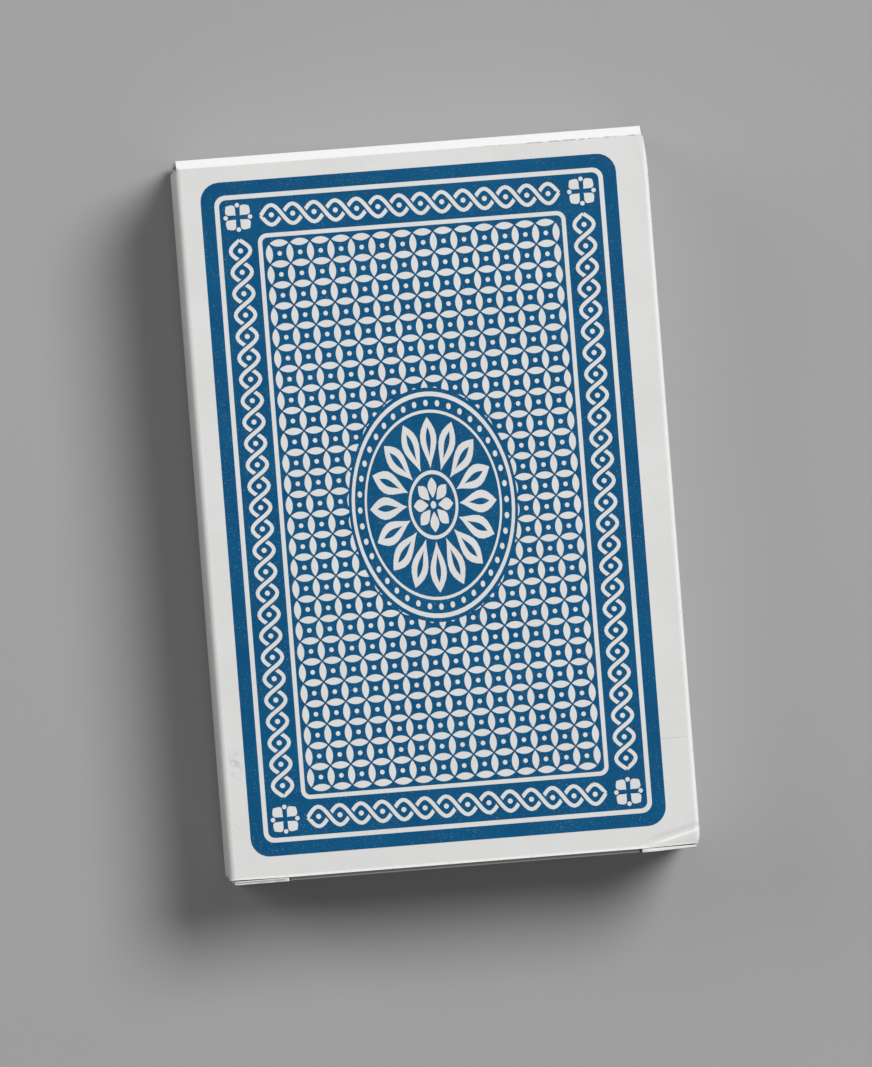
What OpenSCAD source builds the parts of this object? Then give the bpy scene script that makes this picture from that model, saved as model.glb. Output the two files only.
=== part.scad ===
// Deck of playing cards in a folded board tuck carton.
// The carton lies on its back panel with the printed panel up, and the lid is at the -Y end.

/* [Cards] */
// Width of one card
card_w = 57.15; // [50:0.05:70]
// Length of one card
card_l = 88.9; // [75:0.1:120]
// Thickness of one card
card_t = 0.285; // [0.24:0.005:0.4]
// Radius of a card's corners
card_corner = 3.4; // [1:0.1:8]
// Air between one card and the next, and under the lowest
card_gap = 0.01; // [0.005:0.005:0.05]

/* [Carton board] */
// Thickness of the board
board_t = 0.45; // [0.3:0.05:0.7]
// Outside radius of the creases
fold_r = 0.8; // [0.75:0.05:2]
// Play on each side of the cards
side_play = 0.74; // [0.3:0.02:2]
// Play at the lid end of the cards
end_play = 0.6; // [0.2:0.05:2]
// Gap between the cards and the glued end
seat_gap = 0.05; // [0.02:0.01:0.2]
// Gap beside each crease that bends
crease_gap = 0.05; // [0.03:0.01:0.12]

/* [Glued end] */
// Thickness of the glue between two layers of board
glue_t = 0.02; // [0.01:0.01:0.1]
// How far the slanted fold of the glued end runs along the printed panel
bevel_run = 1.1; // [0.5:0.1:2]
// How far the slanted fold drops from the printed panel
bevel_drop = 1.3; // [0.8:0.1:2.5]
// How far the outer end flap's side edges stay inside the carton's sides
end_flap_inset = 0.25; // [0:0.05:0.8]
// Height of the outer end flap's free edge above the back panel's outer face
end_flap_edge = 1.0; // [0.5:0.1:4]
// Gap between the inner end flap's free edge and the slanted fold
inner_flap_gap = 0.3; // [0.1:0.1:4]
// Length of each inner corner flap from the side's outer face
corner_flap_l = 22; // [8:0.5:26]
// Gap between a corner flap's edges and the folds beside it
corner_flap_gap = 0.2; // [0.1:0.1:3]
// Radius of the inner flaps' free corners
inner_flap_corner = 2.5; // [1:0.5:5]
// Inside radius of the inner flaps' folds
inner_fold_in = 0.05; // [0.02:0.01:0.4]

/* [Glue seam] */
// Height of the glue tab inside the right side
seam_h = 13; // [6:0.5:15]
// Slant of the glue tab's two ends
seam_slant = 4; // [1:0.5:10]
// Distance from each end of the side to the glue tab
seam_setback = 0.8; // [0.4:0.1:5]
// Height of the right side's free edge above the back panel's outer face
seam_edge = 0.5; // [0.3:0.05:0.75]

/* [Lid] */
// Length of the slit at each end of the lid's front crease
slit_l = 7.5; // [3:0.5:12]
// Width of the cut at the inner end of each slit
slit_gap = 0.25; // [0.15:0.05:0.6]
// How far the lid stays inside the carton's sides
lid_inset = 0.6; // [0:0.05:1]
// How far the slit shoulders stay below the printed face
shoulder_drop = 0.1; // [0:0.05:0.5]

/* [Tuck tongue] */
// Length of the tongue from the crease
tongue_l = 9; // [5:0.5:11]
// Share of the lid's turn by which the tongue leans towards the printed panel
tongue_lean = 0.6; // [0.5:0.05:0.7]
// Gap between the tongue and the top card
tongue_deck_gap = 0.13; // [0.08:0.01:0.5]
// Room above the tongue when it is highest in its swing
swing_gap = 0.18; // [0.1:0.02:0.6]
// Gap between the tongue and each side of the carton
tongue_side_gap = 0.5; // [0.3:0.1:2]
// How much the tongue narrows on each side towards its end
tongue_taper = 1.2; // [0:0.1:4]
// Radius of the tongue's end corners
tongue_corner = 6; // [2:0.5:7]
// Distance from the crease at which the tongue's shoulders begin
tongue_step = 0.7; // [0.6:0.05:1.5]

/* [Dust flaps] */
// Length of each dust flap from its crease
flap_l = 12.5; // [6:0.5:13]
// Share of the lid's turn by which each flap follows it
flap_follow = 0.6; // [0.4:0.05:0.6]
// Gap between the closed flaps and the lid
flap_gap = 0.15; // [0.1:0.05:0.4]
// Gap between the flap's upper edge and the tongue
flap_top_gap = 1.3; // [1.3:0.1:4]
// Gap between the flap's crease and the corner folds
flap_root_gap = 0.2; // [0.1:0.05:1]
// Radius of the flap's upper free corner
flap_corner = 4; // [2:0.5:5]

/* [Hidden] */
SUITS = ["spades", "diamonds", "clubs", "hearts"];
RANKS = [
    "ace", "two", "three", "four", "five", "six", "seven", "eight", "nine", "ten", "jack", "queen", "king"
];
SUIT_CARDS = [for (suit = SUITS) for (rank = RANKS) str(rank, "_of_", suit)];
CARDS = concat(["black_joker"], SUIT_CARDS, ["red_joker"]);
CARTON = [
    "carton_wrap", "bottom_inner_flaps", "lid_panel", "tuck_tongue", "left_dust_flap", "right_dust_flap"
];

$fn = 64;
crease_r = board_t / 2;
// How far a shape reaches past what it cuts or into what it joins
overlap = 1;

// Heights: the cards lie on the back panel and the tongue goes in above them
card_pitch = card_t + card_gap;
deck_h = len(CARDS) * card_pitch - card_gap;
deck_z = board_t + card_gap;
tongue_z = deck_z + deck_h + tongue_deck_gap;
tongue_axis_z = tongue_z + crease_r;
tongue_rise = pow(tongue_l * tongue_lean, 2) / (2 * deck_h) + swing_gap;
box_d = tongue_z + board_t + tongue_rise + board_t;

// Turn of the open lid, in degrees, and how far the tongue bends towards it
lid_turn = 90;
tongue_bend = (1 - tongue_lean) * lid_turn;

// Widths: the right side is doubled by the glue tab, and the creases' inner radius clears the cards
fold_in_r = fold_r - board_t;
side_room = max(side_play, fold_in_r);
box_w = card_w + 2 * side_room + 3 * board_t + glue_t;
deck_x = -(board_t + glue_t) / 2;
tab_x = box_w / 2 - board_t - glue_t;

// Slanted fold of the glued end, with its inner face one board thickness behind the outer one
slant = norm([bevel_run, bevel_drop]);
slant_run = bevel_run + board_t * (slant - bevel_run) / bevel_drop;
slant_fall = bevel_drop + board_t * (slant - bevel_drop) / bevel_run;

// Lengths: dust flaps at the lid end, and three layers of board at the glued end behind the slant
flap_depth = flap_gap + board_t;
inner_fold_r = board_t + inner_fold_in;
corner_depth = max(2 * (board_t + glue_t), slant_run + crease_gap - inner_fold_r);
end_layers = corner_depth + board_t;
panel_l = flap_depth + end_play + card_l + seat_gap + end_layers;
box_l = board_t + crease_gap + panel_l;
end_y = box_l / 2;
cut_y = end_y - panel_l;
lid_y = -end_y;
lid_axis_y = lid_y + crease_r;
flap_y = cut_y + flap_gap;
flap_axis_y = flap_y + crease_r;
flap_axis_x = box_w / 2 - crease_r;
flap_low = fold_r + flap_root_gap;
flap_high = tongue_z - flap_top_gap;
side_end_y = flap_y + board_t + crease_gap;
inner_end_y = end_y - board_t - glue_t;
corner_end_y = end_y - corner_depth;
deck_end_y = corner_end_y - board_t - seat_gap;
back_stop_y = inner_end_y - inner_fold_r;
side_stop_y = corner_end_y - inner_fold_r;
slant_y = end_y - slant_run;
slant_z = box_d - slant_fall;
function under_slant(y) = box_d - board_t - max(0, y - slant_y) * bevel_drop / bevel_run;

// Colours
WHITE_BOARD = [0.90, 0.90, 0.89];
GREY_BOARD = [0.80, 0.79, 0.76];
CARD_STOCK = [0.93, 0.92, 0.89];

// Rectangle from the origin with round corners
module round_rect(size, r) {
    translate([r, 0]) square([size[0] - 2 * r, size[1]]);
    translate([0, r]) square([size[0], size[1] - 2 * r]);
    for (x = [r, size[0] - r], y = [r, size[1] - r]) translate([x, y]) circle(r);
}

// What a round corner at the origin leaves out of the square between +X and +Y
module corner_cut(r) {
    difference() {
        translate([-overlap, -overlap]) square([r + overlap, r + overlap]);
        translate([r, r]) circle(r);
    }
}

// Extrudes a shape drawn in X and Z along +Y
module along_y(from, to) {
    translate([0, to, 0]) rotate([90, 0, 0]) linear_extrude(to - from) children();
}

// Extrudes a shape drawn in Y and Z along +X
module along_x(from, to) {
    translate([from, 0, 0]) rotate([90, 0, 90]) linear_extrude(to - from) children();
}

// Quarter of a crease of outside radius r about the origin, from the X axis to the Y axis
module quarter_fold(r) {
    difference() {
        intersection() {
            circle(r);
            square(r);
        }
        circle(r - board_t);
    }
}

// Outline of the carton across its length, drawn in by an inset
module outline(inset) {
    translate([inset - box_w / 2, inset])
        round_rect([box_w - 2 * inset, box_d - 2 * inset], fold_r - inset);
}

// The board across the carton's length, with the right side's free edge over the glue tab
module wrap_section() {
    difference() {
        outline(0);
        outline(board_t);
        translate([tab_x - fold_r, -overlap]) square([box_w / 2, fold_r + overlap]);
    }
    translate([box_w / 2 - board_t, seam_edge]) square([board_t, fold_r - seam_edge]);
}

// The board between two heights of the same section
module wrap_strip(low, high) {
    intersection() {
        wrap_section();
        translate([-box_w, low]) square([2 * box_w, high - low]);
    }
}

// Tab of the back panel that is glued inside the right side
module glue_tab() {
    from = side_end_y + seam_setback;
    to = side_stop_y - seam_setback;
    top = board_t + seam_h;
    along_x(tab_x - board_t, tab_x)
        polygon([[from, fold_r], [to, fold_r], [to - seam_slant, top], [from + seam_slant, top]]);
    along_y(from, to) translate([tab_x - fold_r, fold_r]) mirror([0, 1]) quarter_fold(fold_r);
}

// Flap that folds over the glued end from the printed panel
module outer_end_flap() {
    half = box_w / 2 - end_flap_inset;
    intersection() {
        along_x(-half, half) polygon([
            [side_stop_y, box_d], [end_y - bevel_run, box_d], [end_y, box_d - bevel_drop],
            [end_y, end_flap_edge], [end_y - board_t, end_flap_edge],
            [end_y - board_t, slant_z], [slant_y, box_d - board_t], [side_stop_y, box_d - board_t]
        ]);
        along_y(side_stop_y, end_y + overlap) outline(0);
    }
}

// Stretch of the left side's lid end that bends into the dust flap
module flap_notch() {
    depth = side_end_y - cut_y;
    translate([-box_w / 2 - overlap, cut_y - overlap, flap_low - flap_root_gap])
        cube([board_t + 2 * overlap, depth + overlap, flap_high - flap_low + 2 * flap_root_gap]);
}

// Front, back and side panels, the outer end flap and the glue tab: one folded sheet
module carton_wrap() {
    color(WHITE_BOARD) {
        difference() {
            along_y(cut_y, side_stop_y) wrap_section();
            for (side = [0, 1]) mirror([side, 0, 0]) flap_notch();
        }
        along_y(side_stop_y - overlap, slant_y) wrap_strip(box_d - fold_r, box_d);
        along_y(side_stop_y - overlap, back_stop_y) wrap_strip(0, fold_r);
        outer_end_flap();
        glue_tab();
    }
}

// Flap of the back panel, glued behind the outer end flap
module inner_end_flap() {
    half = tab_x - fold_r;
    top = under_slant(inner_end_y) - inner_flap_gap;
    intersection() {
        along_x(-half, half) {
            translate([back_stop_y, inner_fold_r]) mirror([0, 1]) quarter_fold(inner_fold_r);
            translate([inner_end_y - board_t, inner_fold_r]) square([board_t, top - inner_fold_r]);
        }
        along_y(side_stop_y, end_y) difference() {
            translate([-half, 0]) square([2 * half, top]);
            translate([half, top]) rotate(180) corner_cut(inner_flap_corner);
            translate([-half, top]) mirror([0, 1]) corner_cut(inner_flap_corner);
        }
    }
}

// Flap of the left side, glued behind the inner end flap
module corner_flap() {
    low = fold_r + corner_flap_gap;
    high = min(box_d - fold_r, under_slant(corner_end_y)) - corner_flap_gap;
    root = inner_fold_r - box_w / 2;
    reach = corner_flap_l - box_w / 2;
    intersection() {
        linear_extrude(box_d) {
            translate([root, side_stop_y]) mirror([1, 0]) quarter_fold(inner_fold_r);
            translate([root, corner_end_y - board_t]) square([reach - root, board_t]);
        }
        along_y(side_stop_y, end_y) difference() {
            translate([-box_w / 2, low]) square([corner_flap_l, high - low]);
            translate([reach, low]) mirror([1, 0]) corner_cut(inner_flap_corner);
            translate([reach, high]) rotate(180) corner_cut(inner_flap_corner);
        }
    }
}

// The three flaps inside the glued end
module bottom_inner_flaps() {
    color(GREY_BOARD) {
        inner_end_flap();
        for (side = [0, 1]) mirror([side, 0, 0]) corner_flap();
    }
}

// Lid with a round crease at the back panel, a mitred edge under the tongue and a shoulder beyond each slit
module lid_panel() {
    half = box_w / 2 - lid_inset;
    shoulder = box_w / 2 - slit_l;
    fold_edge = tongue_axis_z - (crease_r + crease_gap) / cos(tongue_bend) + crease_r * tan(tongue_bend);
    mitre = board_t * tan(tongue_bend);
    color(WHITE_BOARD) {
        along_x(-half, half) polygon([
            [lid_y, crease_r], [lid_y + board_t, crease_r],
            [lid_y + board_t, fold_edge - mitre], [lid_y, fold_edge]
        ]);
        along_y(lid_y, lid_y + board_t) {
            for (side = [-1, 1]) {
                translate([side > 0 ? shoulder : -half, crease_r])
                    square([half - shoulder, box_d - shoulder_drop - crease_r]);
            }
        }
        along_crease(box_w / 2 - fold_r, lid_axis_y, crease_r);
    }
}

// Round fold of the board along X
module along_crease(half, y, z) {
    translate([-half, y, z]) rotate([0, 90, 0]) cylinder(h = 2 * half, r = crease_r);
}

// Tongue that tucks in behind the printed panel
module tuck_tongue() {
    root = box_w / 2 - slit_l - slit_gap;
    half = box_w / 2 - 2 * board_t - tongue_side_gap;
    tip = half - tongue_taper;
    color(WHITE_BOARD) {
        translate([0, lid_axis_y, tongue_z]) linear_extrude(board_t) {
            translate([-root, 0]) square([2 * root, tongue_step]);
            difference() {
                polygon([[-half, tongue_step], [half, tongue_step], [tip, tongue_l], [-tip, tongue_l]]);
                translate([tip, tongue_l]) rotate(180) corner_cut(tongue_corner);
                translate([-tip, tongue_l]) mirror([0, 1]) corner_cut(tongue_corner);
            }
        }
        along_crease(root, lid_axis_y, tongue_axis_z);
    }
}

// Flap on the left side's lid end, tapered so that the lid stays ahead of it
module left_dust_flap() {
    tip_low = flap_low + flap_follow * flap_l;
    color(WHITE_BOARD) translate([-flap_axis_x, 0, 0]) {
        along_y(flap_y, flap_y + board_t) difference() {
            polygon([[0, flap_low], [flap_l, tip_low], [flap_l, flap_high], [0, flap_high]]);
            translate([flap_l, flap_high]) rotate(180) corner_cut(flap_corner);
        }
        translate([0, flap_axis_y, flap_low]) cylinder(h = flap_high - flap_low, r = crease_r);
    }
}

// Flap on the right side's lid end
module right_dust_flap() {
    mirror([1, 0, 0]) left_dust_flap();
}

// One card of the stack, counted from the back panel
module card(place) {
    color(CARD_STOCK)
        translate([deck_x - card_w / 2, deck_end_y - card_l, deck_z + place * card_pitch])
            linear_extrude(card_t) round_rect([card_w, card_l], card_corner);
}

carton_wrap();
bottom_inner_flaps();
lid_panel();
tuck_tongue();
left_dust_flap();
right_dust_flap();
for (place = [0 : len(CARDS) - 1]) {
    card(place);
}
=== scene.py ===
"""Looks of the playing card deck: carton board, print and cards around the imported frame."""

import math
import random

import bmesh
import bpy
from mathutils import Matrix, Vector
from mathutils.bvhtree import BVHTree
from mathutils.geometry import delaunay_2d_cdt


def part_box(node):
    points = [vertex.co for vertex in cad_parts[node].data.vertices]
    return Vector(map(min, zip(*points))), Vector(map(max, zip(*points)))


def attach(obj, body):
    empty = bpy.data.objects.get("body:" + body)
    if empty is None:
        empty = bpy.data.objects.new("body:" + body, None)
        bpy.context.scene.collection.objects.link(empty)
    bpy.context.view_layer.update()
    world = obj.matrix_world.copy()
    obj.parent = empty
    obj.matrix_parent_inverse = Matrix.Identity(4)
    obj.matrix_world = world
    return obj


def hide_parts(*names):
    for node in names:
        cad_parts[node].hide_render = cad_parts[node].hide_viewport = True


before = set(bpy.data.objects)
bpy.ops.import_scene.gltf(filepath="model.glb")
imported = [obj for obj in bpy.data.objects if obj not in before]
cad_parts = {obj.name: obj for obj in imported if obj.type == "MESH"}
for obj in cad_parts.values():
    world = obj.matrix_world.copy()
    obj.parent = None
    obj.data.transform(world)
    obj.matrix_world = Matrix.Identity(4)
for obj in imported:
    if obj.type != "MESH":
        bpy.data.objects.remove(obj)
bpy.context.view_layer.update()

# Lengths below are in millimetres, and MM turns them into Blender's metres.
MM = 0.001
TAU = 2 * math.pi


def box_mm(node):
    low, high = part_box(node)
    return low / MM, high / MM


# The carton: the printed panel's face, its cut edge and its glued end, and half the width
wrap_low, wrap_high = box_mm("carton_wrap")
TOP = wrap_high.z
CUT_Y = wrap_low.y
END_Y = wrap_high.y
HALF_W = wrap_high.x
CENTRE = (wrap_low + wrap_high) / 2
# The lid, and where its shoulders begin, from the middle
lid_low, lid_high = box_mm("lid_panel")
LID_Y = lid_low.y
LID_HALF_W = lid_high.x
SHOULDER_X = 22.6
tongue_low, tongue_high = box_mm("tuck_tongue")
BOARD_T = tongue_high.z - tongue_low.z
INK_T = 0.02
# Rounding of the die-cut edges
CUT_ROUND = 0.06
# The slanted fold of the glued end, along the printed panel and down from it
BEVEL_RUN = 1.1
BEVEL_DROP = 1.3
# The line that the printed panel's corner by the right shoulder is bent along, and how far before it the
# panel has a shallow valley
BEND_FROM = Vector((22.2, CUT_Y))
BEND_TO = Vector((HALF_W, CUT_Y + 1.95))
BEND_ALONG = (BEND_TO - BEND_FROM).normalized()
BEND_ACROSS = Vector((BEND_ALONG.y, -BEND_ALONG.x))
VALLEY_AT = 0.6

# Place, size and corner radius of the print on the carton; the card backs are drawn in from the same size
PRINT_X = -0.57
PRINT_Y = 0.07
PRINT_W = 52.9
PRINT_L = 85.6
PRINT_R = 2.4


# Outlines, each a list of points in a plane

def arc(x, y, r, start, end, count):
    """Points of an arc, both ends included; r is a radius or a pair of half axes."""
    rx, ry = r if isinstance(r, tuple) else (r, r)
    turns = [math.radians(start + (end - start) * i / count) for i in range(count + 1)]
    return [(x + rx * math.cos(t), y + ry * math.sin(t)) for t in turns]


def oval(x, y, r, count=20):
    return arc(x, y, r, 0, 360, count)[:-1]


def round_rect(w, l, r, count=6):
    points = []
    for turn, sx, sy in ((0, 1, 1), (90, -1, 1), (180, -1, -1), (270, 1, -1)):
        points += arc(sx * (w / 2 - r), sy * (l / 2 - r), r, turn, turn + 90, count)
    return points


def moved(loop, x=0.0, y=0.0, size=1.0, turn=0.0):
    c, s = math.cos(math.radians(turn)) * size, math.sin(math.radians(turn)) * size
    return [(x + c * px - s * py, y + s * px + c * py) for px, py in loop]


def ribbon(points, width):
    """Outline of a stroke of that width along the points."""
    left, right = [], []
    for i, (x, y) in enumerate(points):
        ax, ay = points[max(i - 1, 0)]
        bx, by = points[min(i + 1, len(points) - 1)]
        long = math.hypot(bx - ax, by - ay)
        nx, ny = -(by - ay) / long * width / 2, (bx - ax) / long * width / 2
        left.append((x + nx, y + ny))
        right.append((x - nx, y - ny))
    return left + right[::-1]


def area(loop):
    return sum(a[0] * b[1] - b[0] * a[1] for a, b in zip(loop, loop[1:] + loop[:1])) / 2


class Art:
    """Shapes painted over each other; a later shape covers the earlier ones."""

    def __init__(self):
        self.shapes = []

    def paint(self, colour, *loops):
        """Adds loops of a colour, turned counter-clockwise as the triangulation wants them."""
        self.shapes += [(colour, loop if area(loop) > 0 else loop[::-1]) for loop in loops]

    def frame(self, colour, inside, outer, inner):
        self.paint(colour, outer)
        self.paint(inside, inner)

    def triangles(self):
        """Points, triangles and each triangle's colour."""
        points, faces = [], []
        for _, loop in self.shapes:
            faces.append(list(range(len(points), len(points) + len(loop))))
            points += [Vector(p) for p in loop]
        found = delaunay_2d_cdt(points, [], faces, 1, 1e-5)
        colours = [self.shapes[max(owners)][0] for owners in found[5]]
        return [tuple(p) for p in found[0]], found[2], colours


# The carton's print: a generic back of braided border, petal lattice and oval rosette

BLUE, BARE = "blue", None


def braid(art, x, y, turn, waves, length):
    """Two strands that pass over each other in turn, with a dot in each eye."""
    high, wide, gap, dot_r, steps = 1.25, 0.5, 0.95, 0.34, 16
    wave = length / waves
    cleared, laid = wave / 9, wave / 7

    def strand(sign, start, end):
        count = max(2, round((end - start) / wave * steps))
        line = []
        for i in range(count + 1):
            s = start + (end - start) * i / count
            line.append((s, sign * high * math.sin(TAU * s / wave)))
        return line

    def lay(colour, line, width):
        art.paint(colour, moved(ribbon(line, width), x, y, 1, turn))

    half = length / 2
    lay(BARE, strand(1, -half, half), wide)
    lay(BLUE, strand(-1, -half, half), gap)
    lay(BARE, strand(-1, -half, half), wide)
    for i in range(-waves, waves + 1):
        s = i * wave / 2
        if i % 2 and abs(s) < half - wave / 4:
            lay(BLUE, strand(1, s - cleared, s + cleared), gap)
            lay(BARE, strand(1, s - laid, s + laid), wide)
    for i in range(2 * waves):
        s = -half + (i + 0.5) * wave / 2
        art.paint(BARE, moved(oval(s, 0, dot_r, 10), x, y, 1, turn))


def petal(inset):
    """Lens between two corners of a unit cell, drawn in by a share of the cell."""
    r = math.sqrt(0.5) - inset
    reach = math.degrees(math.acos(0.5 / r))
    upper = arc(0.5, -0.5, r, 90 + reach, 90 - reach, 7)
    lower = arc(0.5, 0.5, r, -90 + reach, -90 - reach, 7)
    return upper[:-1] + lower[:-1]


def lattice(art, w, l, nx, ny):
    """Overlapping circles: a petal on each edge of the grid and a dot in each cell."""
    px, py = w / nx, l / ny
    inset, dot_r = 0.032, 0.12
    lens = petal(inset)
    place = lambda loop: [((x - nx / 2) * px, (y - ny / 2) * py) for x, y in loop]
    for i in range(nx + 1):
        for j in range(ny + 1):
            if i < nx:
                art.paint(BARE, place(moved(lens, i, j)))
            if j < ny:
                art.paint(BARE, place(moved(lens, i, j, 1, 90)))
            if i < nx and j < ny:
                art.paint(BARE, place(oval(i + 0.5, j + 0.5, dot_r, 8)))


def leaf(r0, r1, wide):
    """Pointed leaf from radius r0 to r1 along +X, fuller towards its outer end."""
    steps, lean = 8, 1.3
    shares = [t / steps for t in range(steps + 1)]
    upper = [(r0 + (r1 - r0) * t, wide * math.sin(math.pi * t**lean)) for t in shares]
    return upper + [(x, -y) for x, y in upper[-2:0:-1]]


def rosette(art):
    """Oval rosette: two rings, a row of beads, leaves and a flower."""
    squeeze = 0.72
    ground_r = 14.9
    beads, bead_at, bead_r = 40, 12.95, 0.42
    leaves, petals = 16, 8

    def put(colour, loop):
        art.paint(colour, [(x * squeeze, y) for x, y in loop])

    def ring(outer, inner, count):
        put(BARE, oval(0, 0, outer, count))
        put(BLUE, oval(0, 0, inner, count))

    put(BLUE, oval(0, 0, ground_r, 64))
    ring(14.4, 13.8, 64)
    for i in range(beads):
        t = TAU * i / beads
        put(BARE, oval(bead_at * math.cos(t), bead_at * math.sin(t), bead_r, 10))
    ring(12.1, 11.7, 64)
    for i in range(leaves):
        put(BARE, moved(leaf(4.6, 11.2, 1.45), turn=i * 360 / leaves))
        put(BLUE, moved(leaf(6.2, 9.9, 0.42), turn=i * 360 / leaves))
    ring(4.4, 3.9, 40)
    for i in range(petals):
        put(BARE, moved(leaf(0.7, 3.5, 0.8), turn=i * 360 / petals))
    put(BLUE, oval(0, 0, 0.95, 12))
    put(BARE, oval(0, 0, 0.5, 10))


def carton_art():
    """Print of a panel: two lines with a braid between them, corner flowers, the lattice and the rosette."""
    art = Art()
    inset = lambda d, r: round_rect(PRINT_W - 2 * d, PRINT_L - 2 * d, r)
    art.paint(BLUE, inset(0, PRINT_R))
    # Two white lines, each from one distance inside the print's edge to another, with their corner radii
    art.frame(BARE, BLUE, inset(1.7, 1.35), inset(2.3, 0.85))
    art.frame(BARE, BLUE, inset(6.85, 1.15), inset(7.4, 0.65))
    braid_in, corner_room, field_in = 4.575, 2.9, 8.2
    waves_across, waves_along = 7, 13
    cells_across, cells_along = 14, 26
    far_x, far_y = PRINT_W / 2 - braid_in, PRINT_L / 2 - braid_in
    for side in (-1, 1):
        braid(art, 0, side * far_y, 0, waves_across, 2 * (far_x - corner_room))
        braid(art, side * far_x, 0, 90, waves_along, 2 * (far_y - corner_room))
        for end in (-1, 1):
            x, y = side * far_x, end * far_y
            for k in range(4):
                art.paint(BARE, moved(leaf(0.35, 2.05, 0.75), x, y, 1, 45 + 90 * k))
                art.paint(BARE, moved(oval(1.55, 0, 0.3, 10), x, y, 1, 90 * k))
    lattice(art, PRINT_W - 2 * field_in, PRINT_L - 2 * field_in, cells_across, cells_along)
    rosette(art)
    return art.triangles()


# Materials: each look is one shader whose noise, marks and bump lie in the CAD frame, in millimetres

# Middles of the grey stain and the short scratch on the margin
STAIN = (-28.2, -31.0)
SCRATCH = (27.0, -31.8)


class Look:
    """A material in the making; x, y and z are a point's place in the CAD frame in millimetres."""

    def __init__(self, name, roughness, specular=0.4):
        self.material = bpy.data.materials.new(name)
        self.material.use_nodes = True
        self.tree = self.material.node_tree
        self.shader = self.tree.nodes["Principled BSDF"]
        self.shader.inputs["Roughness"].default_value = roughness
        self.shader.inputs["Specular IOR Level"].default_value = specular
        self.place = self.node("ShaderNodeTexCoord").outputs["Object"]
        axes = self.node("ShaderNodeSeparateXYZ", {"Vector": self.place})
        self.x, self.y, self.z = [self.math("MULTIPLY", axes.outputs[k], 1 / MM) for k in "XYZ"]

    def feed(self, socket, value):
        if isinstance(value, bpy.types.NodeSocket):
            self.tree.links.new(value, socket)
        else:
            socket.default_value = value

    def node(self, kind, inputs=None, **settings):
        made = self.tree.nodes.new(kind)
        for key, value in settings.items():
            setattr(made, key, value)
        for key, value in (inputs or {}).items():
            self.feed(made.inputs[key], value)
        return made

    def math(self, operation, a, b=0.0):
        return self.node("ShaderNodeMath", {0: a, 1: b}, operation=operation).outputs[0]

    def noise(self, grain, detail=2.0, stretch=(1, 1, 1)):
        """Noise whose features are about grain millimetres wide."""
        scale = tuple(k / (grain * MM) for k in stretch)
        place = self.node("ShaderNodeMapping", {"Vector": self.place, "Scale": scale}).outputs[0]
        made = self.node("ShaderNodeTexNoise", {"Vector": place, "Scale": 1.0, "Detail": detail})
        return made.outputs["Fac"]

    def ramp(self, value, start, end):
        """0 at start and 1 at end, whichever is the greater."""
        made = self.node(
            "ShaderNodeMapRange",
            {"Value": value, "From Min": start, "From Max": end},
            interpolation_type="SMOOTHSTEP",
        )
        return made.outputs["Result"]

    def band(self, value, middle, half, soft):
        """1 within half of the middle, fading over soft."""
        away = self.math("ABSOLUTE", self.math("SUBTRACT", value, middle))
        return self.ramp(away, half + soft, half)

    def along(self, start, direction):
        """Distance in the panel's plane from a point along a direction."""
        x = self.math("MULTIPLY", self.x, direction.x)
        y = self.math("MULTIPLY", self.y, direction.y)
        return self.math("SUBTRACT", self.math("ADD", x, y), start.dot(direction))

    def both(self, *masks):
        made = masks[0]
        for mask in masks[1:]:
            made = self.math("MULTIPLY", made, mask)
        return made

    def mix(self, share, a, b):
        made = self.node("ShaderNodeMix", data_type="RGBA")
        self.feed(made.inputs[0], share)
        for socket, value in ((made.inputs[6], a), (made.inputs[7], b)):
            self.feed(socket, value if isinstance(value, bpy.types.NodeSocket) else (*value, 1))
        return made.outputs[2]

    def colour(self, value):
        self.feed(self.shader.inputs["Base Color"], value)

    def rough(self, low, high, grain):
        spread = self.node(
            "ShaderNodeMapRange",
            {"Value": self.noise(grain), "From Min": 0.3, "From Max": 0.7, "To Min": low, "To Max": high},
        )
        self.feed(self.shader.inputs["Roughness"], spread.outputs["Result"])

    def bump(self, height, depth, strength=0.5):
        made = self.node(
            "ShaderNodeBump", {"Height": height, "Distance": depth * MM, "Strength": strength}
        )
        self.feed(self.shader.inputs["Normal"], made.outputs["Normal"])


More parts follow.
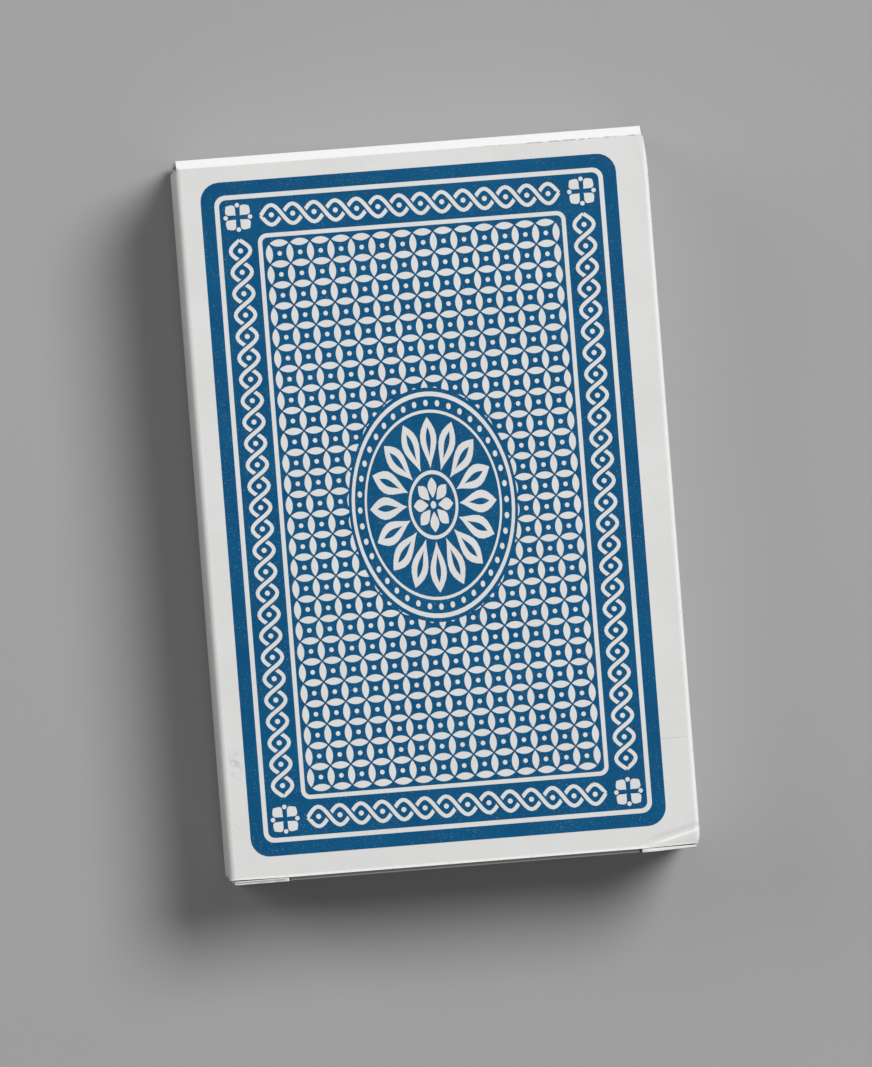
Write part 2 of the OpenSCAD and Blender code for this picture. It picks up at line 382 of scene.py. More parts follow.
def coated_board():
    """White coated side: mottled, with rubs, specks and marks; painted highlights along the cut edge, the
    right fold, the slanted fold, the ridge of the bend and the bent corner, and painted shade in the valley
    before the bend.
    """
    look = Look("coated_board", 0.55, 0.25)
    cloud = look.ramp(look.noise(7, 3), 0.35, 0.7)
    tone = look.mix(cloud, (0.735, 0.735, 0.725), (0.765, 0.766, 0.760))
    grain = look.ramp(look.noise(0.35, 4), 0.3, 0.75)
    tone = look.mix(look.math("MULTIPLY", grain, 0.22), tone, (0.66, 0.66, 0.65))
    smudge = look.both(look.ramp(look.noise(16, 4), 0.52, 0.75), look.ramp(look.noise(1.2, 3), 0.35, 0.7))
    tone = look.mix(look.math("MULTIPLY", smudge, 0.14), tone, (0.58, 0.58, 0.57))
    on_top = look.ramp(look.z, TOP - 1.2, TOP - 0.6)
    fray = look.noise(0.5, 3)
    # Painted highlight: a whiter, frayed strip on the top face along the cut edge, where the edge catches
    # the light
    cut = look.both(on_top, look.ramp(look.y, CUT_Y + 0.42, CUT_Y + 0.18), look.ramp(fray, 0.25, 0.5))
    tone = look.mix(look.math("MULTIPLY", cut, 0.9), tone, (0.93, 0.93, 0.92))
    # Painted highlight: a whiter, frayed strip along the rounding of the right fold
    fold_highlight = look.both(look.ramp(look.x, HALF_W - 0.55, HALF_W - 0.3), look.ramp(fray, 0.2, 0.45))
    tone = look.mix(look.math("MULTIPLY", fold_highlight, 0.9), tone, (0.94, 0.94, 0.93))
    # Painted highlight: the slanted fold of the glued end is whiter than the panel, as it looks when facing
    # the light
    bevel = look.both(
        look.ramp(look.y, END_Y - BEVEL_RUN - 0.1, END_Y - BEVEL_RUN + 0.05),
        look.ramp(look.z, TOP - BEVEL_DROP - 0.15, TOP - BEVEL_DROP),
    )
    tone = look.mix(look.math("MULTIPLY", bevel, 0.9), tone, (0.94, 0.94, 0.935))
    rubbed = look.both(
        look.band(look.y, END_Y - BEVEL_RUN - 0.05, 0.03, 0.1),
        look.ramp(look.noise(0.9, 4), 0.44, 0.56),
        look.ramp(look.x, 2, 20),
        on_top,
    )
    tone = look.mix(look.math("MULTIPLY", rubbed, 0.55), tone, (0.22, 0.22, 0.24))
    specks = look.both(look.ramp(look.noise(0.5, 1), 0.7, 0.77), look.ramp(look.noise(11, 2), 0.5, 0.62))
    tone = look.mix(look.math("MULTIPLY", specks, 0.3), tone, (0.40, 0.40, 0.40))
    stain = look.both(
        look.band(look.x, STAIN[0], 0.2, 0.9),
        look.band(look.y, STAIN[1], 0.8, 1.6),
        look.ramp(look.noise(0.7, 3), 0.4, 0.62),
        on_top,
    )
    tone = look.mix(look.math("MULTIPLY", stain, 0.5), tone, (0.45, 0.45, 0.45))
    scratch = look.both(
        look.band(look.y, SCRATCH[1], 0.02, 0.08), look.band(look.x, SCRATCH[0], 1.6, 1.2), on_top
    )
    tone = look.mix(look.math("MULTIPLY", scratch, 0.35), tone, (0.45, 0.45, 0.45))
    along, past = look.along(BEND_FROM, BEND_ALONG), look.along(BEND_FROM, BEND_ACROSS)
    bent = look.both(look.ramp(along, 0.5, 3.5), on_top)
    # Painted shade: a grey band along the shallow valley before the bend
    valley = look.both(look.band(past, -VALLEY_AT, 0.1, 0.4), bent)
    tone = look.mix(look.math("MULTIPLY", valley, 0.4), tone, (0.60, 0.60, 0.60))
    # Painted highlight: the bent corner past the bend is whiter, as if its slope faced the light
    corner = look.both(look.ramp(past, -0.1, 0.3), bent)
    tone = look.mix(look.math("MULTIPLY", corner, 0.55), tone, (0.93, 0.93, 0.92))
    # Painted highlight: a white, frayed line along the ridge of the bend
    ridge = look.both(look.band(past, 0.02, 0.08, 0.16), bent, look.ramp(fray, 0.2, 0.45))
    tone = look.mix(look.math("MULTIPLY", ridge, 0.9), tone, (0.96, 0.96, 0.95))
    look.colour(tone)
    look.rough(0.48, 0.64, 2.5)
    look.bump(look.noise(0.22, 4), 0.02, 0.35)
    return look.material


def raw_board():
    """Uncoated inside: warm grey with fibres and flecks."""
    look = Look("raw_board", 0.85, 0.25)
    tone = look.mix(look.ramp(look.noise(5, 3), 0.3, 0.7), (0.56, 0.54, 0.49), (0.64, 0.62, 0.57))
    fibre = look.ramp(look.noise(0.5, 3, (1, 5, 1)), 0.55, 0.75)
    tone = look.mix(look.math("MULTIPLY", fibre, 0.5), tone, (0.74, 0.73, 0.69))
    fleck = look.ramp(look.noise(0.28, 2), 0.68, 0.76)
    tone = look.mix(look.math("MULTIPLY", fleck, 0.55), tone, (0.28, 0.25, 0.21))
    look.colour(tone)
    look.rough(0.78, 0.92, 1.5)
    look.bump(look.noise(0.3, 5), 0.05, 0.5)
    return look.material


def cut_board():
    """Die-cut edge: plies, pressed white on the right shoulder, and painted shade along the middle of the
    left shoulder's top.
    """
    look = Look("cut_board", 0.9, 0.2)
    tone = look.mix(look.ramp(look.noise(0.6, 4), 0.3, 0.7), (0.60, 0.59, 0.56), (0.80, 0.80, 0.78))
    ply = look.ramp(look.noise(0.12, 3), 0.5, 0.72)
    tone = look.mix(look.math("MULTIPLY", ply, 0.5), tone, (0.44, 0.42, 0.38))
    shoulder_top = look.ramp(look.z, TOP - 0.6, TOP - 0.3)
    pressed = look.both(look.ramp(look.x, SHOULDER_X, SHOULDER_X + 1), shoulder_top)
    tone = look.mix(look.math("MULTIPLY", pressed, 0.7), tone, (0.88, 0.88, 0.87))
    # Painted shade: a dark line along the middle of the left shoulder's top, standing for the shadow gap
    # between its two layers
    painted_gap_shade = look.both(
        look.band(look.y, LID_Y + BOARD_T / 2, 0.04, 0.1),
        look.ramp(look.x, -SHOULDER_X, -SHOULDER_X - 1),
        shoulder_top,
    )
    tone = look.mix(look.math("MULTIPLY", painted_gap_shade, 0.8), tone, (0.30, 0.30, 0.29))
    look.colour(tone)
    look.bump(look.noise(0.15, 4), 0.05, 0.7)
    return look.material


def ink(name, deep, light, speckle, paper=(0.55, 0.60, 0.66)):
    """Ink on coated stock: uneven cover, and paper that shows through in specks."""
    look = Look(name, 0.42, 0.1)
    tone = look.mix(look.ramp(look.noise(9, 3), 0.3, 0.7), deep, light)
    thin = look.ramp(look.noise(0.3, 3), 0.55, 0.8)
    thin_tone = tuple(min(1, 2.2 * k + 0.004) for k in light)
    tone = look.mix(look.math("MULTIPLY", thin, 0.25), tone, thin_tone)
    specks = look.both(look.ramp(look.noise(0.13, 1), 0.66, 0.76), look.ramp(look.noise(5, 2), 0.25, 0.6))
    tone = look.mix(look.math("MULTIPLY", specks, speckle), tone, paper)
    look.colour(tone)
    look.rough(0.36, 0.5, 2.0)
    look.bump(look.noise(0.22, 4), 0.015, 0.3)
    return look.material


def card_stock():
    """Face of a card: smooth, with a fine linen emboss."""
    look = Look("card_stock", 0.4, 0.45)
    tone = look.mix(look.ramp(look.noise(6, 3), 0.3, 0.7), (0.78, 0.77, 0.73), (0.83, 0.82, 0.79))
    look.colour(tone)
    linen = look.math("ADD", look.noise(0.4, 2, (1, 4, 1)), look.noise(0.4, 2, (4, 1, 1)))
    look.rough(0.34, 0.46, 1.5)
    look.bump(linen, 0.012, 0.35)
    return look.material


def card_edge():
    """The cut side of a card, a shade of its own on each one."""
    look = Look("card_edge", 0.8, 0.25)
    each = look.ramp(look.noise(0.6, 0, (0.02, 0.02, 1)), 0.35, 0.65)
    tone = look.mix(each, (0.60, 0.58, 0.53), (0.80, 0.79, 0.75))
    dirt = look.ramp(look.noise(2.2, 4, (1, 1, 2)), 0.5, 0.75)
    tone = look.mix(look.math("MULTIPLY", dirt, 0.3), tone, (0.42, 0.39, 0.34))
    look.colour(tone)
    look.bump(look.noise(0.15, 3), 0.03, 0.5)
    return look.material


BLUE_INK = ((0.0012, 0.078, 0.195), (0.0016, 0.090, 0.215))
BLACK_INK = ((0.010, 0.010, 0.012), (0.016, 0.016, 0.018))
RED_INK = ((0.46, 0.012, 0.018), (0.52, 0.016, 0.022))
LOOKS = {
    "coated": coated_board(),
    "raw": raw_board(),
    "cut": cut_board(),
    "print": ink("carton_blue_ink", *BLUE_INK, 0.4),
    "stock": card_stock(),
    "edge": card_edge(),
    "blue": ink("card_blue_ink", *BLUE_INK, 0.25),
    "black": ink("card_black_ink", *BLACK_INK, 0.1),
    "red": ink("card_red_ink", *RED_INK, 0.15),
}


def add_piece(name, mesh, body, nodes=(), smooth=None):
    """A piece that moves with a body and may stand for CAD nodes; smooth is the angle of its sharp edges."""
    piece = bpy.data.objects.new(name, mesh)
    bpy.context.scene.collection.objects.link(piece)
    if smooth:
        mesh.shade_smooth()
        mesh.set_sharp_from_angle(angle=math.radians(smooth))
        piece.modifiers.new("flat_faces", "WEIGHTED_NORMAL").keep_sharp = True
    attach(piece, body)
    if nodes:
        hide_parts(*nodes)


# Board pieces: copies of the CAD sheets, with the coated side, the raw side and the cut edges told apart

# Material slots of a board piece
SIDES = ("coated", "raw", "cut")
COATED, RAW, CUT = range(3)
# Angles in degrees: of faces that are joined into one, and of edges that stay sharp
SAME_FACE, SHARP = 0.5, 35
# Lengths in metres: what counts as the same point, and how far inside the board its thickness is taken
SAME_POINT, JUST_INSIDE = 1e-7, 1e-6


def side_of_board(tree, face):
    """Which side of the board a face is, by how thick the board is under it."""
    start = face.calc_center_median() - face.normal * JUST_INSIDE
    thickness = tree.ray_cast(start, -face.normal)[3]
    if thickness is None or thickness > 1.5 * BOARD_T * MM:
        return CUT
    return COATED if face.normal.dot(start - CENTRE * MM) > 0 else RAW


def soften_cuts(bm):
    """Rounds the rims of the cut edges a little, as a die leaves them."""
    rims = [e for e in bm.edges if len(e.link_faces) == 2 and is_rim(e)]
    bmesh.ops.bevel(
        bm, geom=rims, offset=CUT_ROUND * MM, segments=2, affect="EDGES", clamp_overlap=True, material=CUT
    )


def is_rim(edge):
    """Whether a cut edge meets another side of the board there, at more than a radian."""
    one, two = edge.link_faces
    return (one.material_index == CUT) != (two.material_index == CUT) and edge.calc_face_angle(0) > 1


def settled_mesh(name, bm):
    """Mesh of a sheet with its points and faces in one order, because the cuts leave them in any order."""
    corners = sorted(bm.verts, key=lambda v: tuple(v.co))
    number = {vert: i for i, vert in enumerate(corners)}
    faces = []
    for face in bm.faces:
        loop = [number[vert] for vert in face.verts]
        first = loop.index(min(loop))
        faces.append((loop[first:] + loop[:first], face.material_index))
    faces.sort()
    mesh = bpy.data.meshes.new(name)
    mesh.from_pydata([vert.co for vert in corners], [], [loop for loop, _ in faces])
    mesh.polygons.foreach_set("material_index", [side for _, side in faces])
    return mesh


def board_piece(name, node, body, shape=None):
    """A sheet of the carton: the CAD mesh with a look for each side, rounded cuts and, with shape, wear."""
    bm = bmesh.new()
    bm.from_mesh(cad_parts[node].data)
    bmesh.ops.remove_doubles(bm, verts=bm.verts, dist=SAME_POINT)
    bm.normal_update()
    tree = BVHTree.FromBMesh(bm)
    for face in bm.faces:
        face.material_index = side_of_board(tree, face)
    bmesh.ops.dissolve_limit(
        bm, angle_limit=math.radians(SAME_FACE), verts=bm.verts, edges=bm.edges, delimit={"MATERIAL"}
    )
    soften_cuts(bm)
    if shape:
        shape(bm)
    mesh = settled_mesh(name, bm)
    bm.free()
    for side in SIDES:
        mesh.materials.append(LOOKS[side])
    add_piece(name, mesh, body, [node], smooth=SHARP)


# Wear: the printed panel's corner by the right shoulder is bent down along a line across it and crushed
# in, the right corner of the glued end is pressed in, the cut edge is rubbed back by the shoulders, and the
# right shoulder is pinched thin

# Depth and width of the valley before the bend
VALLEY, VALLEY_W = 0.12, 0.36
# Drop of the bent corner 1 mm past the bend, the power it grows by, and the length in which it sets in
BEND_DROP, BEND_POWER, BEND_START = 0.34, 1.15, 2
# Where the two worn corners begin, across and along the carton
LID_CORNER = (20.0, CUT_Y + 5.0)
END_CORNER = (25.0, END_Y - 6.0)
# How far the lid corner is crushed, over what length from the cut edge, and from where across
CRUSH, CRUSH_L, CRUSH_X = 0.3, 1.4, 24
# How far the end corner is pressed in
PRESS = 0.34
# How far the cut edge is rubbed back, and over what length
RUB, RUB_L = 0.12, 0.3
# How far the right shoulder is pinched, and how deep below the panel's face
PINCH, PINCH_DEPTH = 0.22, 3.0
# Lines that the sheets are cut along so that they can take these shapes
BEND_LINES = (-1.3, -0.9, -0.6, -0.35, -0.15, 0.0, 0.2, 0.5, 0.9, 1.3)
DEPTH_LINES = (1.5, 3.0, 5.0)
ACROSS_LINES = (CRUSH_X, 25.5, 27, 28.2)
PRESS_LINES = (4.8, 3.8, 3.0, 2.2, 1.6)
PINCH_LINES = (24.5, 26, 27.5, 28.8)
# Normals of the cutting planes
ACROSS_X, ACROSS_Y, ACROSS_Z = (1, 0, 0), (0, 1, 0), (0, 0, 1)
# How deep below the panel's face the sheets are cut
WORN_DEPTH = 8


def share(value, start, end):
    """0 before start and 1 after end."""
    return min(1.0, max(0.0, (value - start) / (end - start)))


def bend_drop(x, y):
    """How far the panel lies below its plane: a shallow valley, a ridge, then the bent corner."""
    past = (Vector((x, y)) - BEND_FROM).dot(BEND_ACROSS)
    along = (Vector((x, y)) - BEND_FROM).dot(BEND_ALONG)
    valley = VALLEY * math.exp(-(((past + VALLEY_AT) / VALLEY_W) ** 2))
    corner = BEND_DROP * max(0, past) ** BEND_POWER
    return share(along, 0, BEND_START) * (valley + corner)


def worn(x, y, z):
    """Where wear moves a point of the carton."""
    high = share(z, TOP - DEPTH_LINES[-1], TOP - 1)
    if x > LID_CORNER[0] and y < LID_CORNER[1]:
        crush = share(-y, -CUT_Y - CRUSH_L, -CUT_Y)
        x -= CRUSH * high * crush**2 * share(x, CRUSH_X, HALF_W)
        z -= bend_drop(x, y) * high
    if x > END_CORNER[0] and y > END_CORNER[1]:
        press = share(y, END_CORNER[1], END_Y - 1)
        x -= PRESS * high * press**2 * share(x, END_CORNER[0], HALF_W)
    rubbed = RUB * share(abs(x), SHOULDER_X, HALF_W) * share(-y, -CUT_Y - RUB_L, -CUT_Y)
    return x, y + rubbed * share(z, TOP - 1.2, TOP - 0.8), z


def cut(bm, point, normal, chosen):
    """Cuts the faces that are chosen by their middles along a plane."""
    faces = [f for f in bm.faces if chosen(f.calc_center_median() / MM)]
    verts = dict.fromkeys(v for f in faces for v in f.verts)
    edges = dict.fromkeys(e for f in faces for e in f.edges)
    bmesh.ops.bisect_plane(
        bm, geom=[*verts, *edges, *faces], plane_co=Vector(point) * MM, plane_no=normal, dist=SAME_POINT
    )


def cut_for_wear(bm):
    """Gives the mesh the points that the wear needs."""
    anywhere = lambda c: True
    upper = TOP - WORN_DEPTH
    lid_end = lambda c: c.y < LID_CORNER[1] and c.z > upper
    lid_corner = lambda c: c.x > LID_CORNER[0] and lid_end(c)
    end_corner = lambda c: c.x > END_CORNER[0] and c.y > END_CORNER[1] and c.z > upper
    for place in (LID_CORNER, END_CORNER):
        cut(bm, (place[0], 0, 0), ACROSS_X, anywhere)
        cut(bm, (0, place[1], 0), ACROSS_Y, anywhere)
    cut(bm, (-SHOULDER_X, 0, 0), ACROSS_X, lid_end)
    for corner in (lid_corner, end_corner):
        for depth in DEPTH_LINES:
            cut(bm, (0, 0, TOP - depth), ACROSS_Z, corner)
        for x in ACROSS_LINES:
            cut(bm, (x, 0, 0), ACROSS_X, corner)
    for away in BEND_LINES:
        cut(bm, (BEND_FROM + BEND_ACROSS * away).to_3d(), BEND_ACROSS.to_3d(), lid_corner)
    for away in PRESS_LINES:
        cut(bm, (0, END_Y - away, 0), ACROSS_Y, end_corner)


def wear(bm):
    """Wears a sheet of the carton's body."""
    cut_for_wear(bm)
    for vert in bm.verts:
        vert.co = Vector(worn(*(vert.co / MM))) * MM


def pinch_shoulder(bm):
    """Presses the right shoulder of the lid thin towards its outer end."""
    anywhere = lambda c: True
    shoulder = lambda c: c.x > SHOULDER_X and c.z > TOP - PINCH_DEPTH
    cut(bm, (0, 0, TOP - PINCH_DEPTH), ACROSS_Z, anywhere)
    cut(bm, (SHOULDER_X, 0, 0), ACROSS_X, anywhere)
    cut(bm, (0, 0, TOP - PINCH_DEPTH / 2), ACROSS_Z, shoulder)
    for x in PINCH_LINES:
        cut(bm, (x, 0, 0), ACROSS_X, shoulder)
    for vert in bm.verts:
        x, y, z = vert.co / MM
        if y < CUT_Y - BOARD_T / 2:
            high = share(z, TOP - PINCH_DEPTH, TOP - 1)
            vert.co.y += PINCH * high * share(x, SHOULDER_X + 1, LID_HALF_W) * MM


def shape_wrap(bm):
    """Lowers the faces under the prints by the ink's thickness and wears the sheet."""
    close = 1e-3
    for vert in bm.verts:
        if vert.co.z > (TOP - close) * MM:
            vert.co.z -= INK_T * MM
        elif vert.co.z < close * MM:
            vert.co.z += INK_T * MM
    wear(bm)


board_piece("carton_board", "carton_wrap", "carton", shape_wrap)
board_piece("glued_flaps", "bottom_inner_flaps", "carton", wear)
board_piece("lid_board", "lid_panel", "lid", pinch_shoulder)
board_piece("tongue_board", "tuck_tongue", "tongue")
board_piece("left_flap_board", "left_dust_flap", "left_flap")
board_piece("right_flap_board", "right_dust_flap", "right_flap")


# Prints: a closed film of ink on the front panel and on the back panel

def film(points, triangles, low, high, place):
    """Closed mesh of a flat shape between two heights; place turns a point into x and y."""
    used = sorted({i for t in triangles for i in t})
    number = {old: new for new, old in enumerate(used)}
    flat = [place(*points[i]) for i in used]
    tris = [tuple(number[i] for i in t) for t in triangles]
    if area([flat[i] for i in tris[0]]) < 0:
        tris = [t[::-1] for t in tris]
    verts = [(x * MM, y * MM, z * MM) for z in (high, low) for x, y in flat]
    n = len(flat)
    faces = list(tris) + [tuple(i + n for i in t[::-1]) for t in tris]
    rim = {(t[k], t[(k + 1) % 3]) for t in tris for k in range(3)}
    faces += [(b, a, a + n, b + n) for a, b in rim if (b, a) not in rim]
    mesh = bpy.data.meshes.new("ink")
    mesh.from_pydata(verts, [], faces)
    return mesh


points, triangles, colours = carton_art()
inked = [t for t, colour in zip(triangles, colours) if colour == BLUE]
for name, low, flip in (("front_print", TOP - INK_T, 1), ("back_print", 0.0, -1)):
    mesh = film(points, inked, low, low + INK_T, lambda x, y: (flip * x + PRINT_X, y + PRINT_Y))
    mesh.materials.append(LOOKS["print"])
    add_piece(name, mesh, "carton")


# Cards: each its own closed sheet with a printed face, a printed back and cut edges

CARD_R = 3.4
SUITS = ("spades", "diamonds", "clubs", "hearts")
RANKS = (
    "ace", "two", "three", "four", "five", "six", "seven", "eight", "nine", "ten", "jack", "queen", "king"
)
INDEX = ("A", "2", "3", "4", "5", "6", "7", "8", "9", "10", "J", "Q", "K")
# Places of the pips on a face as shares of its pip area, from -1 to 1
SIDES_2 = [(sx, sy) for sx in (-1, 1) for sy in (-1, 1)]
SIDES_3 = SIDES_2 + [(-1, 0), (1, 0)]
SIDES_4 = [(sx, sy) for sx in (-1, 1) for sy in (-1, -1 / 3, 1 / 3, 1)]
PIPS = {
    "two": [(0, 1), (0, -1)],
    "three": [(0, 1), (0, 0), (0, -1)],
    "four": SIDES_2,
    "five": SIDES_2 + [(0, 0)],
    "six": SIDES_3,
    "seven": SIDES_3 + [(0, 0.5)],
    "eight": SIDES_3 + [(0, 0.5), (0, -0.5)],
    "nine": SIDES_4 + [(0, 0)],
    "ten": SIDES_4 + [(0, 2 / 3), (0, -2 / 3)],
}
# Half the pip area, and the heights of a pip and of an ace
PIP_X, PIP_Y = 13.5, 29
PIP_SIZE, ACE_SIZE = 10, 20
# Heights of the corner index and its pip, and their places from the edges of the card
INDEX_SIZE, INDEX_PIP_SIZE = 5.4, 4.0
INDEX_X, INDEX_Y, INDEX_PIP_Y = 4.0, 6.4, 12.4
# The framed panel of a court card, and the points of its crown
COURT_W, COURT_L, COURT_LINE = 36, 66, 0.8
CROWN_POINTS = {"jack": 2, "queen": 3, "king": 5}
# Lozenges across and along a card back
BACK_ROWS = (7, 13)
# How far a card may lie from its place in the stack, across and along
CARD_SHIFT = (0.25, 0.04)


def heart_loop():
    """Heart one unit high about the origin."""
    right = arc(0.25, 0.22, 0.26, 150, -30, 9)
    right += [(0.40, -0.02), (0.28, -0.2), (0.12, -0.37), (0.0, -0.5)]
    return [(0.0, 0.32)] + right + [(-x, y) for x, y in right[-2::-1]]


def stem_loop():
    return [(0.0, 0.0), (0.06, -0.25), (0.2, -0.5), (-0.2, -0.5), (-0.06, -0.25)]


def pip_loops(suit):
    """Loops of a suit's sign, one unit high about the origin."""
    if suit == "diamonds":
        side = [(0.0, 0.5), (0.12, 0.27), (0.24, 0.12), (0.38, 0.0)]
        half = side + [(x, -y) for x, y in side[-2::-1]]
        return [half + [(-x, y) for x, y in half[-2:0:-1]]]
    if suit == "hearts":
        return [heart_loop()]
    if suit == "spades":
        return [moved(heart_loop(), 0, 0.04, 0.92, 180), stem_loop()]
    leaves = [oval(0, 0.25, 0.24, 14), oval(-0.24, -0.1, 0.24, 14), oval(0.24, -0.1, 0.24, 14)]
    return leaves + [oval(0, 0.02, 0.14, 8), stem_loop()]


def star_loop(points_count=5, inner=0.45):
    turns = [90 + 180 * i / points_count for i in range(2 * points_count)]
    radii = [0.5 if i % 2 == 0 else 0.5 * inner for i in range(2 * points_count)]
    return [(r * math.cos(math.radians(t)), r * math.sin(math.radians(t))) for r, t in zip(radii, turns)]


def glyph_loops(text):
    """Outlines of a letter or number, one unit high about the origin, larger loops first."""
    curve = bpy.data.curves.new("glyph", "FONT")
    curve.body = text
    curve.align_x = "CENTER"
    curve.resolution_u = 3
    curve.fill_mode = "NONE"
    holder = bpy.data.objects.new("glyph", curve)
    bpy.context.scene.collection.objects.link(holder)
    mesh = holder.to_mesh()
    corners = [tuple(v.co[:2]) for v in mesh.vertices]
    near = {i: [] for i in range(len(corners))}
    for edge in mesh.edges:
        a, b = edge.vertices
        near[a].append(b)
        near[b].append(a)
    loops, left = [], set(i for i in near if len(near[i]) == 2)
    while left:
        first = min(left)
        walk, last = [first], None
        while True:
            after = [i for i in near[walk[-1]] if i != last]
            last = walk[-1]
            if after[0] == first and len(walk) > 2 or after[0] in walk:
                break
            walk.append(after[0])
        left -= set(walk)
        loops.append([corners[i] for i in walk])
    holder.to_mesh_clear()
    bpy.data.objects.remove(holder)
    bpy.data.curves.remove(curve)
    low = min(y for loop in loops for _, y in loop)
    high = max(y for loop in loops for _, y in loop)
    middle = sum(max(x for x, _ in loop) + min(x for x, _ in loop) for loop in loops) / len(loops) / 2
    size = 1 / (high - low)
    loops = [moved(loop, -middle * size, -(low + high) / 2 * size, size) for loop in loops]
    return sorted(loops, key=lambda loop: -abs(area(loop)))


def inside(point, loop):
    """Whether a point lies within a loop."""
    x, y = point
    found = False
    for (ax, ay), (bx, by) in zip(loop, loop[1:] + loop[:1]):
        if (ay > y) != (by > y) and x < (bx - ax) * (y - ay) / (by - ay) + ax:
            found = not found
    return found


GLYPHS = {text: glyph_loops(text) for text in INDEX}


def both_ways(art, colour, loops, x, y, size):
    """Paints loops at a place and again, upside down, at the opposite place."""
    for sign, turn in ((1, 0), (-1, 180)):
        for loop in loops:
            art.paint(colour, moved(loop, sign * x, sign * y, size, turn))


def write(art, colour, text, x, y, size):
    """Paints an index as both_ways does, with the holes of its letters left bare."""
    loops = GLYPHS[text]
    for sign, turn in ((1, 0), (-1, 180)):
        for loop in loops:
            hole = sum(inside(loop[0], other) for other in loops if other is not loop) % 2
            art.paint("stock" if hole else colour, moved(loop, sign * x, sign * y, size, turn))


def crown(points_count):
    """Crown one unit wide with that many points."""
    loop = [(-0.42, -0.35), (0.42, -0.35)]
    for i in range(2 * points_count - 1):
        x = 0.5 - i / (2 * points_count - 2)
        loop.append((x, 0.35 if i % 2 == 0 else 0.0))
    return loop


def court(art, rank, suit, colour):
    """Framed panel with a crown, the suit and a lozenge belt, the same both ways up."""
    outer = round_rect(COURT_W, COURT_L, 1.2, 3)
    inner = round_rect(COURT_W - COURT_LINE, COURT_L - COURT_LINE, 0.8, 3)
    art.frame("blue", "stock", outer, inner)
    lozenge, pitch = [(0, 3.2), (2.1, 0), (0, -3.2), (-2.1, 0)], 4.6
    for i in range(7):
        art.paint("blue" if i % 2 else colour, moved(lozenge, (i - 3) * pitch))
    both_ways(art, "blue", [crown(CROWN_POINTS[rank])], 0, 25.0, 15)
    both_ways(art, colour, [round_rect(13.4, 1.2, 0.4, 2)], 0, 17.4, 1)
    both_ways(art, colour, pip_loops(suit), 0, 10.6, 10)
    for side in (-1, 1):
        both_ways(art, "blue", [star_loop(4, 0.35)], side * 13.2, 12.0, 5)


def face_art(rank, suit, w, l):
    """Face of a card; a joker has no suit, and a colour in its name."""
    art = Art()
    art.paint("stock", round_rect(w, l, CARD_R))
    if suit is None:
        colour = rank.split("_")[0]
        both_ways(art, colour, [star_loop()], -w / 2 + 4.2, l / 2 - 6.0, 5)
        art.frame("blue", "stock", oval(0, 0, 17, 48), oval(0, 0, 16.4, 48))
        art.paint(colour, moved(star_loop(8, 0.5), 0, 0, 29))
        art.paint("stock", oval(0, 0, 5.4, 24))
        art.paint(colour, moved(star_loop(), 0, 0, 8))
        return art.triangles()
    colour = "red" if suit in ("diamonds", "hearts") else "black"
    text = INDEX[RANKS.index(rank)]
    both_ways(art, colour, pip_loops(suit), -w / 2 + INDEX_X, l / 2 - INDEX_PIP_Y, INDEX_PIP_SIZE)
    write(art, colour, text, -w / 2 + INDEX_X, l / 2 - INDEX_Y, INDEX_SIZE)
    if rank == "ace":
        for loop in pip_loops(suit):
            art.paint(colour, moved(loop, size=ACE_SIZE))
    elif rank in PIPS:
        for sx, sy in PIPS[rank]:
            for loop in pip_loops(suit):
                art.paint(colour, moved(loop, sx * PIP_X, sy * PIP_Y, PIP_SIZE, 180 if sy < 0 else 0))
    else:
        court(art, rank, suit, colour)
    return art.triangles()


def back_art(w, l):
    """Back of every card: a lined field of lozenges, each with a dot."""
    art = Art()
    smaller = lambda d, r, count: round_rect(PRINT_W - d, PRINT_L - d, r, count)
    art.paint("stock", round_rect(w, l, CARD_R))
    art.paint("blue", smaller(4, PRINT_R, 6))
    art.frame("stock", "blue", smaller(7, 1.3, 3), smaller(8, 0.9, 3))
    field_in, dot_r = 12, 0.9
    nx, ny = BACK_ROWS
    px, py = (PRINT_W - field_in) / nx, (PRINT_L - field_in) / ny
    half_w, half_l = 0.4 * px, 0.4 * py
    for i in range(nx):
        for j in range(ny):
            x, y = (i + 0.5 - nx / 2) * px, (j + 0.5 - ny / 2) * py
            art.paint("stock", [(x, y + half_l), (x + half_w, y), (x, y - half_l), (x - half_w, y)])
            art.paint("blue", oval(x, y, dot_r, 8))
    return art.triangles()


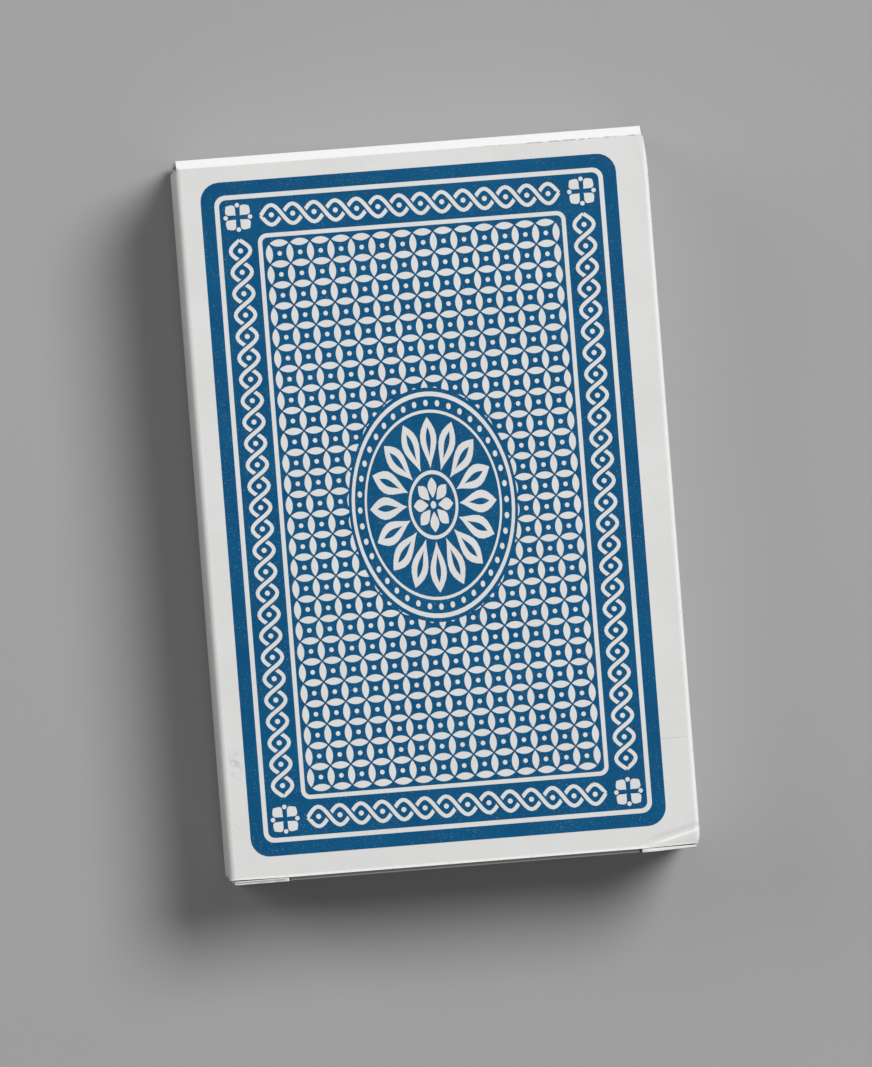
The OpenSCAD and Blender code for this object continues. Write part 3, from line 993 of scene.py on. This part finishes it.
def card_piece(node, rank, suit, back, shift):
    """One card: its back up, its face down, and a cut edge between their rims."""
    low, high = box_mm(node)
    w, l = high.x - low.x, high.y - low.y
    cx, cy = (low.x + high.x) / 2 + shift[0], (low.y + high.y) / 2 + shift[1]
    names = ["stock", "edge", "blue", "black", "red"]
    verts, faces, slots, rims = [], [], [], []
    face = face_art(rank, suit, w, l)
    for (points, triangles, colours), z, flip in ((back, high.z, 1), (face, low.z, -1)):
        first = len(verts)
        verts += [((flip * x + cx) * MM, (y + cy) * MM, z * MM) for x, y in points]
        for t, colour in zip(triangles, colours):
            faces.append(tuple(first + i for i in t))
            slots.append(names.index(colour))
        edges = {(t[k], t[(k + 1) % 3]) for t in triangles for k in range(3)}
        after = {a: b for a, b in edges if (b, a) not in edges}
        start = max(after, key=lambda i: (flip * points[i][0] + points[i][1] * 1e-3))
        loop = [start]
        while after[loop[-1]] != start:
            loop.append(after[loop[-1]])
        rims.append([first + i for i in (loop if flip > 0 else [loop[0]] + loop[:0:-1])])
    upper, lower = rims
    for k in range(len(upper)):
        j = (k + 1) % len(upper)
        faces.append((upper[k], lower[k], lower[j], upper[j]))
        slots.append(names.index("edge"))
    mesh = bpy.data.meshes.new(node)
    mesh.from_pydata(verts, [], faces)
    for name in names:
        mesh.materials.append(LOOKS[name])
    mesh.polygons.foreach_set("material_index", slots)
    add_piece("card_" + node, mesh, "deck", [node])


# The same shifts in each run
rng = random.Random(54)
card_low, card_high = box_mm("red_joker")
card_back = back_art(card_high.x - card_low.x, card_high.y - card_low.y)
cards = [("black_joker", "black_joker", None)]
cards += [(f"{rank}_of_{suit}", rank, suit) for suit in SUITS for rank in RANKS]
cards += [("red_joker", "red_joker", None)]
for node, rank, suit in cards:
    card_piece(node, rank, suit, card_back, [rng.uniform(-reach, reach) for reach in CARD_SHIFT])


# Floor, light and camera

# Half the floor's side and how far it lies below the carton, in metres
FLOOR, FLOOR_GAP = 3.0, 0.0002
floor_mesh = bpy.data.meshes.new("floor")
floor_corners = [(x * FLOOR, y * FLOOR, 0) for x, y in ((-1, -1), (1, -1), (1, 1), (-1, 1))]
floor_mesh.from_pydata(floor_corners, [], [(0, 1, 2, 3)])
floor = bpy.data.objects.new("floor", floor_mesh)
floor.location.z = -FLOOR_GAP
bpy.context.scene.collection.objects.link(floor)
floor_look = Look("floor", 0.9, 0.1)
floor_look.colour(floor_look.mix(floor_look.noise(60, 2), (0.365, 0.365, 0.365), (0.385, 0.385, 0.385)))
floor_mesh.materials.append(floor_look.material)


def soft_light(name, place, size, watts):
    """Round area light that points at the carton; place and size are in metres."""
    lamp = bpy.data.lights.new(name, "AREA")
    lamp.shape = "DISK"
    lamp.size = size
    lamp.energy = watts
    holder = bpy.data.objects.new(name, lamp)
    holder.location = place
    holder.rotation_mode = "QUATERNION"
    holder.rotation_quaternion = (-Vector(place)).to_track_quat("-Z", "Y")
    bpy.context.scene.collection.objects.link(holder)


soft_light("key", (1.2, 1.05, 2.1), 1.4, 63)
soft_light("fill", (-1.5, 0.9, 1.2), 1.2, 9)
soft_light("front", (0.2, -2.2, 0.4), 1.0, 5.5)

world = bpy.data.worlds.new("studio")
world.use_nodes = True
sky = world.node_tree.nodes["Background"]
sky.inputs["Color"].default_value = (1, 1, 1, 1)
sky.inputs["Strength"].default_value = 0.13
scene = bpy.context.scene
scene.world = world
scene.view_settings.view_transform = "Standard"

# The photograph is a flat scan at 200 dots per inch, with the carton turned a little on the glass, seen
# from far above and a little from the left; the carton's middle is at BOX_PX
IMAGE_W, IMAGE_H = 872, 1067
PX_PER_MM = 200 / 25.4
BOX_TURN = math.radians(4.5)
BOX_PX = (438, 505)
DISTANCE = 1200
EYE_X, EYE_Y = -69, 0
SENSOR = 36.0
right = Vector((math.cos(BOX_TURN), -math.sin(BOX_TURN), 0))
up = Vector((math.sin(BOX_TURN), math.cos(BOX_TURN), 0))
aim = Vector((0, 0, TOP))
aim -= right * (BOX_PX[0] - IMAGE_W / 2) / PX_PER_MM - up * (BOX_PX[1] - IMAGE_H / 2) / PX_PER_MM
eye = aim + right * EYE_X + up * EYE_Y + Vector((0, 0, DISTANCE))
back = (eye - aim).normalized()
across = up.cross(back).normalized()
camera_data = bpy.data.cameras.new("camera")
camera_data.sensor_width = SENSOR
camera_data.lens = SENSOR * (eye - aim).length ** 2 / DISTANCE / (IMAGE_H / PX_PER_MM)
camera = bpy.data.objects.new("camera", camera_data)
camera.matrix_world = Matrix(
    [[across[i], back.cross(across)[i], back[i], eye[i] * MM] for i in range(3)] + [[0, 0, 0, 1]]
)
scene.collection.objects.link(camera)
scene.camera = camera
